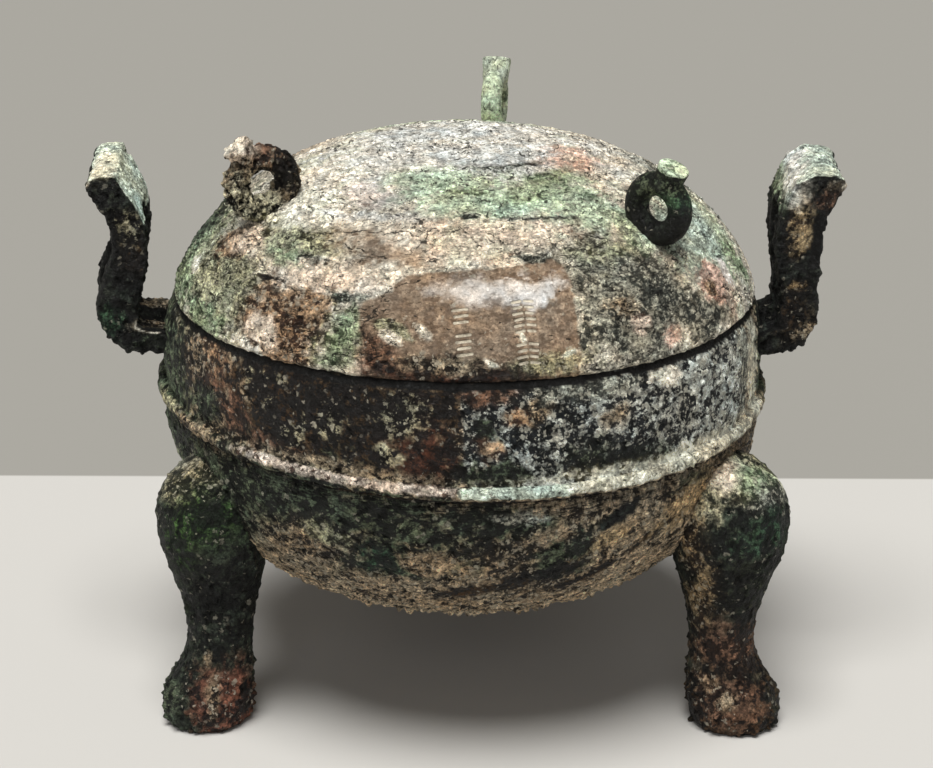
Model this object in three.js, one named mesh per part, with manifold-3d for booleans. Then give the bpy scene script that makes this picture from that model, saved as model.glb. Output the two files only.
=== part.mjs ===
// A lidded bronze ding: a round cooking tripod with two upright loop ears and three hoof-footed legs,
// and a domed lid with three ring knobs. Two castings: the vessel, which carries its ears and legs, and
// the lid, which rests on the ledge of the vessel's mouth and lifts off.
// Millimetres, +Z up, front towards -Y, ears along X. The origin is on the floor, at the middle of the
// box round the object, so the vessel's own axis stands a little in front of it.
import * as THREE from "three";
import { mergeVertices } from "three/addons/utils/BufferGeometryUtils.js";
import Module from "manifold-3d";

const wasm = await Module();
wasm.setup();

// ---- Driving sizes ----
const wall = 3.6; // bronze thickness of bowl and lid
const roundSteps = 52; // facets round the bowl and the lid

const bandRadius = 142; // crest of the raised cord band, the widest part of the bowl
const bandHeight = 145.7; // middle of the band above the floor
const bandHalf = 3.2; // half the height of the band
const bowlRadius = 138.5; // bowl at the band
const bowlBottom = 46; // underside of the bowl above the floor
const shoulderRadius = 137; // bowl just under the mouth
// Powers that square off the belly's quarter ellipse, outwards and downwards; 1 leaves it an ellipse.
const bellyOut = 0.94;
const bellyDown = 0.86;

const lidBase = 191; // lower edge of the lid
const lidRadius = 135.2;
const lidRise = 68.8;
// Powers of the dome's outline: (radius share) ** domeOut + (height share) ** domeUp = 1.
const domeOut = 2.67;
const domeUp = 1.49;
const ledgeHeight = lidBase - 0.3; // ledge of the bowl's mouth, on which the lid rests
const lipRadius = lidRadius - wall - 1.2; // lip of the mouth, which stands up inside the lid
const lipTop = lidBase + 7;

// Each leg: where it stands round the bowl, its reach from the vessel's axis to the middle of the
// foot, and how heavy its knee is. They were cast apart and came out a little different.
const legs = [
  { angle: 91, reach: 142, knee: 1 },
  { angle: 210, reach: 138, knee: 0.95 },
  { angle: 331, reach: 144.5, knee: 1 },
];

const earWidth = 50;
const earSlotWidth = 19;
const earSlotTop = 231;
// Each ear: degrees round the bowl, how far out its elbow and its neck stand, how far its tip flares
// beyond the neck, how thick its bar is for its kind, and the degrees that it has been wrung.
const ears = [
  { angle: 0, elbow: 155.5, neck: 153.5, flare: 16.8, bulk: 0.92, twist: 6 },
  { angle: 180, elbow: 162.3, neck: 154.3, flare: 19.5, bulk: 1, twist: 8 },
];

const ringRadius = 10.5; // knob ring, to the middle of its tube
const tubeRadius = 4.9;
const knobStand = 13; // dome to the middle of a ring
const stubRadius = 6;
const stubLength = 11;
const stubLean = 9; // degrees that a stub leans out further than its ring
// Each knob: where it stands, how far out on the dome, and how far its ring leans outwards.
const knobs = [
  { angle: 81, out: 88, lean: 15 },
  { angle: 205, out: 94, lean: 29 },
  { angle: 323, out: 103, lean: 16 },
];

const radians = THREE.MathUtils.degToRad;
const v2 = (x, y) => new THREE.Vector2(x, y);

// ---- Solids ----
function solidOf(geometry) {
  const plain = geometry.index ? geometry.toNonIndexed() : geometry.clone();
  plain.deleteAttribute("normal");
  plain.deleteAttribute("uv");
  const merged = mergeVertices(plain, 1e-4);
  return new wasm.Manifold(
    new wasm.Mesh({
      numProp: 3,
      vertProperties: merged.attributes.position.array,
      triVerts: new Uint32Array(merged.index.array),
    }),
  );
}

function geometryOf(solid) {
  const { vertProperties, triVerts } = solid.getMesh();
  const geometry = new THREE.BufferGeometry();
  geometry.setAttribute("position", new THREE.BufferAttribute(vertProperties, 3));
  geometry.setIndex(new THREE.BufferAttribute(triVerts, 1));
  geometry.computeVertexNormals();
  return geometry;
}

// A profile of (radius, height) points turned round the vertical axis.
function turned(profile) {
  return solidOf(new THREE.LatheGeometry(profile, roundSteps).rotateX(Math.PI / 2));
}

// Rings of points, each the same length, skinned into one closed body with flat ends.
function lofted(rings) {
  const count = rings[0].length;
  const points = rings.flat();
  const faces = [];
  for (let r = 0; r + 1 < rings.length; r++) {
    for (let i = 0; i < count; i++) {
      const a = r * count + i;
      const b = r * count + ((i + 1) % count);
      faces.push(a, b, b + count, a, b + count, a + count);
    }
  }
  const top = (rings.length - 1) * count;
  for (let i = 1; i + 1 < count; i++) {
    faces.push(0, i + 1, i);
    faces.push(top, top + i, top + i + 1);
  }
  const geometry = new THREE.BufferGeometry().setFromPoints(points);
  geometry.setIndex(faces);
  return solidOf(geometry);
}

// ---- Bowl ----
// The belly under the band, from straight down round to level: a squared-off quarter ellipse.
function bellyPoints(radius, bottom, steps) {
  const top = bandHeight - 6;
  const points = [];
  for (let i = 0; i <= steps; i++) {
    const angle = (i / steps) * (Math.PI / 2);
    const drop = (top - bottom) * Math.cos(angle) ** bellyDown;
    points.push(v2(radius * Math.sin(angle) ** bellyOut, top - drop));
  }
  return points;
}

function bowlOutside() {
  const band = [
    v2(bowlRadius, bandHeight - bandHalf),
    v2(bandRadius - 0.8, bandHeight - 0.9 * bandHalf),
    v2(bandRadius, bandHeight - 0.4 * bandHalf),
    v2(bandRadius, bandHeight + 0.4 * bandHalf),
    v2(bandRadius - 1, bandHeight + 0.9 * bandHalf),
    v2(bowlRadius, bandHeight + bandHalf),
  ];
  const shoulder = [
    v2(bowlRadius + 0.3, 165),
    v2(shoulderRadius + 0.6, 179),
    v2(shoulderRadius - 0.6, 186),
    v2(lidRadius - 1.5, ledgeHeight),
    v2(lipRadius, ledgeHeight),
    v2(lipRadius - 0.8, lipTop),
    v2(0, lipTop),
  ];
  return turned([...bellyPoints(bowlRadius, bowlBottom, 10), ...band, ...shoulder]);
}

function bowlInside() {
  const inside = bellyPoints(bowlRadius - wall, bowlBottom + wall, 8);
  const neck = [
    v2(bowlRadius - wall, 170),
    v2(lipRadius - wall, ledgeHeight - 6),
    v2(lipRadius - wall, lipTop + 5),
    v2(0, lipTop + 5),
  ];
  return turned([...inside, ...neck]);
}

// ---- Legs ----
// Stations up a leg: height, how far out the middle is from that of the foot, and half the section
// along and across the radius. Hoof, ankle, then the swelling knee that runs into the bowl.
const legStations = [
  [0, 0, 17.2, 16.8],
  [3, 0.2, 20.2, 19.8],
  [11, 0, 21.9, 21.4],
  [20, -2, 20.3, 19.6],
  [28, -5.5, 17.2, 16.8],
  [38, -7.5, 15.0, 14.8],
  [50, -7.7, 15.8, 15.4],
  [62, -7.7, 18.0, 17.6],
  [75, -7, 22.5, 21.5],
  [90, -6, 27.0, 26.0],
  [104, -6, 28.6, 27.5],
  [116, -7.5, 27.0, 26.0],
  [126, -11, 21.0, 20.5],
  [133, -17, 11.0, 11.0],
];
const legSides = 18;

function leg({ angle, reach, knee }) {
  const rings = legStations.map(([z, shift, along, across]) => {
    const bulk = THREE.MathUtils.lerp(1, knee, THREE.MathUtils.smoothstep(z, 50, 90));
    const ring = [];
    for (let i = 0; i < legSides; i++) {
      const a = (i / legSides) * 2 * Math.PI;
      const x = reach + shift + bulk * along * Math.cos(a);
      const p = new THREE.Vector3(x, bulk * across * Math.sin(a), z);
      ring.push(p.applyAxisAngle(new THREE.Vector3(0, 0, 1), radians(angle)));
    }
    return ring;
  });
  return lofted(rings);
}

// ---- Ears ----
// Side view of an ear: the middle of the bar, out from the bowl's wall, round the elbow, up and
// flaring outwards, each point as distance from the axis, height and thickness of the bar.
function earPath({ elbow, neck, flare }) {
  return [
    [131, 169.6, 11],
    [elbow - 13, 170.3, 12],
    [elbow - 3.5, 174.5, 15],
    [elbow, 184, 19],
    [0.6 * elbow + 0.4 * neck, 196, 18.5],
    [neck, 212, 16.4],
    [neck + 0.08 * flare, 228, 16.2],
    [neck + 0.34 * flare, 238.5, 16],
    [neck + 0.52 * flare, 244.5, 15.5],
  ];
}
const earSteps = 12;

function earOutline(shape) {
  const path = earPath(shape);
  const line = new THREE.CatmullRomCurve3(path.map(([x, z]) => new THREE.Vector3(x, z, 0)));
  const thickness = new THREE.CatmullRomCurve3(
    path.map(([, , t], i) => new THREE.Vector3(i, shape.bulk * t, 0)),
  );
  const outer = [];
  const inner = [];
  for (let i = 0; i <= earSteps; i++) {
    const t = i / earSteps;
    const p = line.getPoint(t);
    const along = line.getTangent(t);
    const half = thickness.getPoint(t).y / 2;
    outer.push(v2(p.x + along.y * half, p.y - along.x * half));
    inner.push(v2(p.x - along.y * half, p.y + along.x * half));
  }
  const tip = shape.neck + shape.flare;
  const crown = [v2(tip, 247), v2(tip - 1.2, 250.6), v2(tip - 5, 252.8), v2(tip - 14, 253)];
  return [...outer, ...crown, ...inner.reverse()];
}

function ear(shape) {
  const bevel = 2.2;
  const bar = new THREE.ExtrudeGeometry(new THREE.Shape(earOutline(shape)), {
    depth: earWidth - 2 * bevel,
    bevelThickness: bevel,
    bevelSize: bevel,
    bevelOffset: -bevel,
    bevelSegments: 1,
  });
  bar.translate(0, 0, -(earWidth / 2 - bevel)).rotateX(Math.PI / 2);
  const half = earSlotWidth / 2;
  const corner = 3;
  const slot = new THREE.Shape();
  slot.moveTo(-half, 150);
  slot.lineTo(half, 150);
  slot.lineTo(half, earSlotTop - corner);
  slot.absarc(half - corner, earSlotTop - corner, corner, 0, Math.PI / 2);
  slot.lineTo(-half + corner, earSlotTop);
  slot.absarc(-half + corner, earSlotTop - corner, corner, Math.PI / 2, Math.PI);
  const through = new THREE.ExtrudeGeometry(slot, {
    depth: 60,
    bevelEnabled: false,
    curveSegments: 3,
  });
  through.rotateX(Math.PI / 2).rotateZ(Math.PI / 2).translate(120, 0, 0);
  const place = (geometry) =>
    geometry
      .translate(-shape.elbow, 0, 0)
      .rotateZ(radians(shape.twist))
      .translate(shape.elbow, 0, 0)
      .rotateZ(radians(shape.angle));
  return solidOf(place(bar)).subtract(solidOf(place(through)));
}

// ---- Lid ----
// The dome's outline from the rim to the crown, with its points closer together near the rim.
function domePoints(radius, rise, steps) {
  const points = [];
  for (let i = 0; i <= steps; i++) {
    const share = Math.sin((i / steps) * (Math.PI / 2)) ** 1.35;
    points.push(v2(radius * (1 - share ** domeUp) ** (1 / domeOut), lidBase + rise * share));
  }
  return points;
}

function lidShell() {
  const outside = [v2(0, lidBase), v2(lidRadius - 0.8, lidBase), v2(lidRadius, lidBase + 1)];
  const dome = domePoints(lidRadius, lidRise, 11).filter((p) => p.y > lidBase + 1.5);
  const inside = domePoints(lidRadius - wall, lidRise - wall, 8);
  return turned([...outside, ...dome]).subtract(
    turned([v2(0, lidBase - 5), v2(lidRadius - wall, lidBase - 5), ...inside]),
  );
}

// The dome's height at a distance from the axis.
function domeHeight(out) {
  return lidBase + lidRise * (1 - (out / lidRadius) ** domeOut) ** (1 / domeUp);
}

// A fat ring standing on the dome in the plane of the lid's axis, with a short stub on its top.
function knob({ angle, out, lean }) {
  const place = (geometry) =>
    geometry
      .rotateY(radians(lean))
      .translate(out, 0, domeHeight(out))
      .rotateZ(radians(angle));
  const ring = new THREE.TorusGeometry(ringRadius, tubeRadius, 10, 22)
    .rotateX(Math.PI / 2)
    .translate(0, 0, knobStand);
  const stub = new THREE.CylinderGeometry(stubRadius, stubRadius - 0.7, stubLength, 18)
    .rotateX(Math.PI / 2)
    .translate(0, 0, ringRadius - 1 + stubLength / 2)
    .rotateY(radians(stubLean))
    .translate(0, 0, knobStand);
  return solidOf(place(ring)).add(solidOf(place(stub)));
}

// ---- The two castings ----
function vesselSolid() {
  const parts = [...legs.map(leg), ...ears.map(ear)];
  return parts.reduce((whole, part) => whole.add(part), bowlOutside()).subtract(bowlInside());
}

function lidSolid() {
  return knobs.map(knob).reduce((whole, part) => whole.add(part), lidShell());
}

const vesselBronze = new THREE.MeshStandardMaterial({
  name: "vessel_patina",
  color: 0x4f5a48,
  roughness: 0.8,
  metalness: 0.35,
});
const lidBronze = new THREE.MeshStandardMaterial({
  name: "lid_patina",
  color: 0x8f9279,
  roughness: 0.75,
  metalness: 0.3,
});

function named(name, solid, material) {
  const mesh = new THREE.Mesh(geometryOf(solid), material);
  mesh.name = name;
  return mesh;
}

const ding = new THREE.Group();
ding.name = "ding";
ding.add(named("vessel", vesselSolid(), vesselBronze), named("lid", lidSolid(), lidBronze));

const box = new THREE.Box3().setFromObject(ding, true);
ding.position.set(-(box.min.x + box.max.x) / 2, -(box.min.y + box.max.y) / 2, -box.min.z);

export default ding;
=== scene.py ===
"""The looks of a corroded bronze ding, a lidded tripod vessel, laid out as a Blender add-on.

Bowl, legs, ears, lid and knobs are modelled about the vessel's own axis in millimetres and then set
into the frame in metres. Each piece's corrosion is laid out as spots, given by their place on the
piece, which set colours, crust, specks, pits and relief in the mesh. One material reads them.
"""

import math

import bmesh
import bpy
import numpy as np
from bpy.props import FloatProperty, FloatVectorProperty, PointerProperty
from mathutils import Matrix, Vector


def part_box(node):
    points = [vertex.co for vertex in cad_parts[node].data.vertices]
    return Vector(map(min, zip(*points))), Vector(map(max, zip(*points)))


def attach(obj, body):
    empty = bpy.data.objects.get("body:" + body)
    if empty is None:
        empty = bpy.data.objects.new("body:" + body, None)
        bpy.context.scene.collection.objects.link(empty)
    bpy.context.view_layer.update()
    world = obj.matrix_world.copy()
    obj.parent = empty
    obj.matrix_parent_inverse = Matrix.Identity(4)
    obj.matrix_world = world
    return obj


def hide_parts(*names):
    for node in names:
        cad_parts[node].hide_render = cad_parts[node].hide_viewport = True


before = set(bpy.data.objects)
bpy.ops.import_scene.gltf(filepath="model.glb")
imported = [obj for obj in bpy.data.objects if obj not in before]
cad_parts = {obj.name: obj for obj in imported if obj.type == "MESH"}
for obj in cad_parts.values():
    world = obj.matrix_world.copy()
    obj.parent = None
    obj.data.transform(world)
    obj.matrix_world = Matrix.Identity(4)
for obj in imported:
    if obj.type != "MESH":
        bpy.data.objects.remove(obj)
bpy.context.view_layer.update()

LID_LOW, LID_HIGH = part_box("lid")
# The vessel's axis is the middle of the round lid.
AXIS = Vector(((LID_LOW.x + LID_HIGH.x) / 2, (LID_LOW.y + LID_HIGH.y) / 2, 0))
MM = 0.001
# Depths in mm: of the strokes, and of the smooth tablet under the crust round it.
STROKE_DEPTH = 0.5
TABLET_DEPTH = 0.55
# Where the pale floor ends and the grey backdrop starts, in metres back from the middle.
BACKDROP_EDGE = 0.217

bl_info = {
    "name": "Bronze Ding",
    "version": (1, 0, 0),
    "blender": (4, 5, 0),
    "location": "3D View > Sidebar > Ding",
    "description": "Builds a corroded bronze ding with its lid around its packed solids",
    "category": "Add Mesh",
}


# ---- Colours ----


def linear(hex_colour):
    """The linear colour of an sRGB hex value."""
    values = []
    for i in (1, 3, 5):
        v = int(hex_colour[i : i + 2], 16) / 255
        values.append(v / 12.92 if v <= 0.04045 else ((v + 0.055) / 1.055) ** 2.4)
    return values


# Each finish of the corroded bronze: the colour of its ground and of the crust over it, the share
# that the crust covers, how thickly pale specks stand on it, how pitted and how rough it is.
FINISHES = {
    "frost": ("#9bb09a", "#e3f1df", 0.80, 0.08, 0.34, 0.60),
    "pale": ("#bcb8aa", "#faf7ee", 0.86, 0.14, 0.32, 0.42),
    "cream": ("#ac9f88", "#faf0dd", 0.82, 0.20, 0.34, 0.52),
    "strip": ("#9d9378", "#f8f1d8", 0.80, 0.10, 0.22, 0.95),
    "peach": ("#b89c84", "#fbe6cf", 0.84, 0.16, 0.32, 0.52),
    "pink": ("#c4b0a1", "#f6e9dd", 0.80, 0.06, 0.20, 0.40),
    "salmon": ("#a47a68", "#f0c8b2", 0.70, 0.30, 0.25, 0.50),
    "mint": ("#73866a", "#d9eacb", 0.70, 0.22, 0.34, 0.50),
    "leaf": ("#4e5c41", "#b1c19b", 0.56, 0.28, 0.34, 0.60),
    "olive": ("#43432e", "#bdbb99", 0.57, 0.35, 0.38, 0.70),
    "moss": ("#151a13", "#5f6b56", 0.44, 0.06, 0.26, 1.00),
    "emerald": ("#12241a", "#44624a", 0.46, 0.06, 0.26, 1.0),
    "grass": ("#12200f", "#3f5c30", 0.46, 0.06, 0.26, 1.0),
    "night": ("#111511", "#383f34", 0.50, 0.07, 0.22, 1.0),
    "rust": ("#463124", "#bd9c7b", 0.52, 0.30, 0.30, 0.75),
    "brown": ("#2b1c14", "#7c5d4a", 0.50, 0.08, 0.20, 0.60),
    "umber": ("#110b08", "#40301f", 0.40, 0.08, 0.22, 0.75),
    "sienna": ("#1b0f0a", "#45291d", 0.48, 0.06, 0.16, 0.60),
    "clay": ("#261612", "#70493a", 0.56, 0.10, 0.18, 0.60),
    "flecks": ("#17120e", "#b7b092", 0.40, 0.20, 0.20, 0.90),
    # Near-black ground under very pale crust: partly painted shade in the holes and painted light
    # on the ridges.
    "lace": ("#090b07", "#f4f2d4", 0.58, 0.10, 0.50, 1.30),
    "mauve": ("#7a6755", "#998672", 0.52, 0.05, 0.12, 0.18),
    "silver": ("#b2aba4", "#dfd9d3", 0.72, 0.02, 0.05, 0.08),
    "blue": ("#12171b", "#ccd0c8", 0.43, 0.30, 0.20, 1.15),
    "slate": ("#42453f", "#b9bbad", 0.50, 0.35, 0.38, 0.80),
    "ash": ("#484a43", "#aeac9b", 0.50, 0.30, 0.36, 0.70),
    "speckle": ("#12161a", "#dcded3", 0.54, 0.40, 0.18, 1.20),
    "tan": ("#2b231a", "#bda98c", 0.54, 0.30, 0.36, 1.10),
    "ochre": ("#3b2e21", "#c2a77f", 0.60, 0.20, 0.30, 1.00),
    "sage": ("#4b4d3a", "#cdc5a2", 0.58, 0.25, 0.34, 0.80),
    "straw": ("#7c7759", "#faf5de", 0.76, 0.25, 0.26, 0.45),
    "rose": ("#5f4a3e", "#ebd8c6", 0.62, 0.30, 0.34, 0.60),
    "black": ("#0b0c0b", "#2d322c", 0.42, 0.04, 0.18, 1.10),
    # Near black: painted shade, along the seam under the lid and on an ear's front face.
    "dirt": ("#030303", "#080706", 0.50, 0.00, 0.10, 0.30),
}
FINISH_NAMES = list(FINISHES)
FINISH_ROWS = np.array(
    [linear(ground) + linear(crust) + list(rest) for ground, crust, *rest in FINISHES.values()]
)
# Columns of such a row.
GROUND, CRUST, SHARES, COVER, ROUGH = slice(0, 3), slice(3, 6), slice(6, 9), 6, 9


# ---- Sizes ----


class DingSizes(bpy.types.PropertyGroup):
    """Sizes of the ding in millimetres, as its solids have them"""

    wall: FloatProperty(name="Wall", description="Bronze of bowl and lid", default=3.6)
    band_radius: FloatProperty(name="Band radius", description="Crest of the band", default=142)
    band_height: FloatProperty(name="Band height", description="Its middle", default=145.7)
    band_half: FloatProperty(name="Band half height", description="Half its height", default=3.2)
    bowl_radius: FloatProperty(name="Bowl radius", description="Bowl at the band", default=138.5)
    bowl_bottom: FloatProperty(name="Bowl bottom", description="Its underside", default=46)
    lid_base: FloatProperty(name="Lid base", description="Lower edge of the lid", default=191)
    lid_radius: FloatProperty(name="Lid radius", description="The lid's rim", default=135.2)
    lid_rise: FloatProperty(name="Lid rise", description="Height of the dome", default=68.8)
    ear_width: FloatProperty(name="Ear width", description="Width of an ear", default=50)


class DingColours(bpy.types.PropertyGroup):
    """Colours of the stage and the shared dark of pits and cracks"""

    pit: FloatVectorProperty(
        name="Pits", description="Pits and cracks", subtype="COLOR", default=linear("#14110d")
    )
    floor: FloatVectorProperty(
        name="Floor", description="Pale floor", subtype="COLOR", default=linear("#c8c6c3")
    )
    backdrop: FloatVectorProperty(
        name="Backdrop", description="Further back", subtype="COLOR", default=linear("#989691")
    )


def sizes():
    return bpy.context.scene.ding_sizes


# ---- Noise, seeded and repeatable ----


def chance(cell, seed):
    """A fixed number from 0 to 1 for each whole-numbered cell."""
    x, y, z = (cell[..., i].astype(np.int64).astype(np.uint32) for i in range(3))
    h = x * np.uint32(374761393) ^ y * np.uint32(668265263) ^ z * np.uint32(2246822519)
    h = h ^ np.full_like(h, (seed * 3266489917) & 0xFFFFFFFF)
    h = (h ^ (h >> np.uint32(15))) * np.uint32(2654435761)
    h = (h ^ (h >> np.uint32(13))) * np.uint32(1274126177)
    return ((h ^ (h >> np.uint32(16))) & np.uint32(0xFFFFFF)) / float(0xFFFFFF)


def wavy(points, size, seed, octaves=3, gain=0.5):
    """Soft noise from about -1 to 1 whose broadest waves are size mm long."""
    total = np.zeros(len(points))
    weight, reach = 1.0, 0.0
    for octave in range(octaves):
        q = points / (size * 0.5**octave) + 0.37 * octave
        cell = np.floor(q)
        f = q - cell
        f = f * f * (3 - 2 * f)
        value = np.zeros(len(points))
        for corner in range(8):
            step = np.array([corner & 1, corner >> 1 & 1, corner >> 2 & 1])
            share = np.prod(np.where(step, f, 1 - f), axis=1)
            value += share * chance(cell + step, seed * 31 + octave)
        total += weight * (value * 2 - 1)
        reach += weight
        weight *= gain
    return total / reach * 1.6


def grains(points, size, seed):
    """Scattered grains about size mm apart. For each point: the distance to the nearest, as a
    share of size, that grain's fixed chance, and how far the tilted grain rises there."""
    q = points / size
    cell = np.floor(q)
    best = np.full(len(points), 9.0)
    luck = np.zeros(len(points))
    tilt = np.zeros(len(points))
    for corner in range(27):
        step = np.array([corner % 3 - 1, corner // 3 % 3 - 1, corner // 9 - 1])
        near = cell + step
        dice = [chance(near, seed * 7 + k) for k in range(3)]
        offset = q - near - np.stack(dice, axis=1)
        gap = np.linalg.norm(offset, axis=1)
        closer = gap < best
        best = np.where(closer, gap, best)
        luck = np.where(closer, chance(near, seed * 7 + 5), luck)
        slope = sum(offset[:, k] * (dice[(k + 1) % 3] - 0.5) for k in range(3))
        tilt = np.where(closer, slope, tilt)
    return best, luck, tilt


def bumps(points, size, seed, reach):
    """Round bumps on such grains: how high each point stands on one, and that bump's chance."""
    gap, luck, _ = grains(points, size, seed)
    return np.clip(1 - (gap / reach) ** 2, 0, 1), luck


def ease(value, low, high):
    """0 below low and 1 above high, with a smooth step between."""
    t = np.clip((value - low) / (high - low), 0, 1)
    return t * t * (3 - 2 * t)


# ---- Corrosion laid out on a piece ----


def spot_share(spot, place, warp):
    """How far each point lies inside a spot, 0 to 1. On a round piece the place is azimuth in
    degrees, distance down the profile in mm and radius in mm; elsewhere it is x, y, z in mm."""
    _, centre, half, tilt, soft, square = spot
    if len(centre) == 2:
        across = (place[:, 0] - centre[0] + 180) % 360 - 180
        offset = [np.radians(across) * place[:, 2], place[:, 1] - centre[1]]
    else:
        offset = [place[:, i] - centre[i] for i in range(3)]
    wander = min(1, min(half) / 8) * (0.35 if square else 1)
    offset = [o + w * wander for o, w in zip(offset, warp)]
    if tilt:
        c, s = math.cos(math.radians(tilt)), math.sin(math.radians(tilt))
        offset[0], offset[1] = c * offset[0] + s * offset[1], c * offset[1] - s * offset[0]
    power = 6 if square else 2
    away = sum(abs(o / h) ** power for o, h in zip(offset, half)) ** (1 / power)
    if soft > 0.1:
        away = away + warp[3]
    return 1 - ease(away, 1 - soft, 1 + soft)


def lay_finishes(points, place, ground, spots, seed):
    """The finish of every point, as a row like those of FINISH_ROWS."""
    warp = [
        5 * wavy(points, 16, seed + i) + 2.6 * wavy(points, 5, seed + 5 + i, gain=0.7)
        for i in range(3)
    ]
    # Flake by flake, the edge of a patch gives way to the next.
    warp.append(0.5 * (grains(points, 3.2, seed + 8)[1] - 0.5))
    rows = np.repeat(FINISH_ROWS[FINISH_NAMES.index(ground)][None], len(points), axis=0)
    for spot in spots:
        share = spot_share(spot, place, warp)[:, None]
        rows += share * (FINISH_ROWS[FINISH_NAMES.index(spot[0])] - rows)
    # Each patch drifts in lightness and in hue, as no patina is one colour.
    light = 1 + 0.16 * wavy(points, 24, seed + 11) + 0.12 * wavy(points, 6, seed + 12)
    warm = 0.07 * wavy(points, 18, seed + 13) + 0.05 * wavy(points, 5, seed + 14)
    for colour in (rows[:, GROUND], rows[:, CRUST]):
        colour *= light[:, None]
        colour[:, 0] *= 1 + warm
        colour[:, 2] *= 1 - warm
    rows[:, COVER] += 0.12 * wavy(points, 13, seed + 15)
    return rows


def spot(finish, centre, half, tilt=0, soft=0.3, square=False):
    """One patch of a finish: where it is, its half sizes in mm, its tilt in degrees, the softness
    of its edge, and whether it is squarish."""
    return finish, centre, half, tilt, soft, square


def corrode(
    piece, points, normals, place, flow, ground, spots, seed,
    relief=0, ledges=0, crack=(0, 0), cut=0, rough=1.0, swell=0.9,
):
    """Gives a piece its crust: relief in the mesh, and the attributes that the material reads.
    Points are in mm about the vessel's axis, and flow is the same, stretched along the flakes.
    Relief is in mm, and ledges are relief that only a rough finish has. Crack holds the distance
    from a crack and how surely there is one, and cut how far inside a stroke a point lies."""
    rows = lay_finishes(points, place, ground, spots, seed)
    rows[:, ROUGH] *= rough
    broad = wavy(points, 30, seed + 21)
    lumps = wavy(points, 8, seed + 22)
    fine = wavy(points, 2.6, seed + 24, octaves=2)
    _, luck, tilt = grains(points + 0.8 * fine[:, None], 4.6, seed + 23)
    lift = 0.4 * broad + 0.4 * lumps + 0.5 * (luck - 0.5) + 1.9 * tilt + 0.2 * fine
    shaped = relief + ledges * ease(rows[:, ROUGH], 0.2, 0.5)
    height = lift * rows[:, ROUGH] * swell + shaped - STROKE_DEPTH * ease(cut, 0.3, 0.7)
    # The material darkens low places and lightens raised ones by this lift: painted shade and
    # painted light.
    lift = lift + 0.5 * shaped
    mesh = piece.data
    moved = (points + normals * height[:, None]) * MM + np.array(AXIS)
    mesh.vertices.foreach_set("co", moved.astype(np.float32).ravel())
    one = np.ones(len(points))

    def store(name, kind, *columns):
        layer = mesh.attributes.new(name, kind, "POINT")
        field = {"FLOAT": "value", "FLOAT_VECTOR": "vector", "FLOAT_COLOR": "color"}[kind]
        layer.data.foreach_set(field, np.column_stack(columns).astype(np.float32).ravel())

    store("ground", "FLOAT_COLOR", np.clip(rows[:, GROUND], 0, 1), one)
    store("crust", "FLOAT_COLOR", np.clip(rows[:, CRUST], 0, 1), one)
    store("cover_specks_pits", "FLOAT_VECTOR", np.clip(rows[:, SHARES], 0, 1))
    store("flow", "FLOAT_VECTOR", flow * MM)
    store("relief", "FLOAT", np.clip(rows[:, ROUGH], 0, 2))
    store("cut", "FLOAT", cut * one)
    store("crack", "FLOAT_VECTOR", crack[0] * one, crack[1] * one, np.clip(lift, -1, 1))
    mesh.update()


# ---- Modelling helpers ----


def deselect():
    bpy.ops.object.select_all(action="DESELECT")


def activate(piece):
    deselect()
    piece.select_set(True)
    bpy.context.view_layer.objects.active = piece


def new_piece(name, vertices, edges=(), faces=()):
    """A new object from plain points, edges and faces, ready to be shaped."""
    mesh = bpy.data.meshes.new(name)
    mesh.from_pydata(vertices, edges, faces)
    piece = bpy.data.objects.new(name, mesh)
    bpy.context.scene.collection.objects.link(piece)
    activate(piece)
    return piece


def apply_modifier(piece, name, kind, **settings):
    activate(piece)
    modifier = piece.modifiers.new(name, kind)
    for key, value in settings.items():
        setattr(modifier, key, value)
    bpy.ops.object.modifier_apply(modifier=name)


def read_points(piece):
    mesh = piece.data
    points = np.zeros(len(mesh.vertices) * 3)
    mesh.vertices.foreach_get("co", points)
    normals = np.zeros(len(mesh.vertices) * 3)
    mesh.vertex_normals.foreach_get("vector", normals)
    return points.reshape(-1, 3), normals.reshape(-1, 3)


def write_points(piece, points):
    piece.data.vertices.foreach_set("co", points.astype(np.float32).ravel())
    piece.data.update()


def reshape(*steps):
    """Runs steps of mesh editing, each on the whole of the active piece, and turns its faces
    outwards."""
    bpy.ops.object.mode_set(mode="EDIT")
    for step in steps:
        bpy.ops.mesh.select_all(action="SELECT")
        step()
    bpy.ops.mesh.select_all(action="SELECT")
    bpy.ops.mesh.normals_make_consistent(inside=False)
    bpy.ops.object.mode_set(mode="OBJECT")


def finish_piece(piece, node):
    """Smooth faces, the shared material, and the piece's place in the frame."""
    activate(piece)
    bpy.ops.object.shade_smooth()
    piece.data.materials.clear()
    piece.data.materials.append(patina())
    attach(piece, "root")
    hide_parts(node)


def arc_lengths(line):
    steps = np.linalg.norm(np.diff(line, axis=0), axis=1)
    return np.concatenate([[0], np.cumsum(steps)])


def running_total(weight, step=1):
    return np.concatenate([[0], np.cumsum((weight[1:] + weight[:-1]) / 2 * step)])


def respaced(line, spacing):
    """A line of (radius, height) with new points; spacing maps a place to the step there, in mm."""
    line = np.array(line, float)
    length = arc_lengths(line)

    def at(distance):
        return np.column_stack([np.interp(distance, length, line[:, i]) for i in range(2)])

    fine = np.linspace(0, length[-1], 6000)
    total = running_total(np.array([1 / spacing(*c) for c in at(fine)]), np.diff(fine))
    count = max(3, int(round(total[-1])))
    return at(np.interp(np.linspace(0, total[-1], count + 1), total, fine))


def around(points):
    """Each point's azimuth in radians, and its distance from the axis."""
    return np.arctan2(points[:, 1], points[:, 0]), np.hypot(points[:, 0], points[:, 1])


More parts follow.
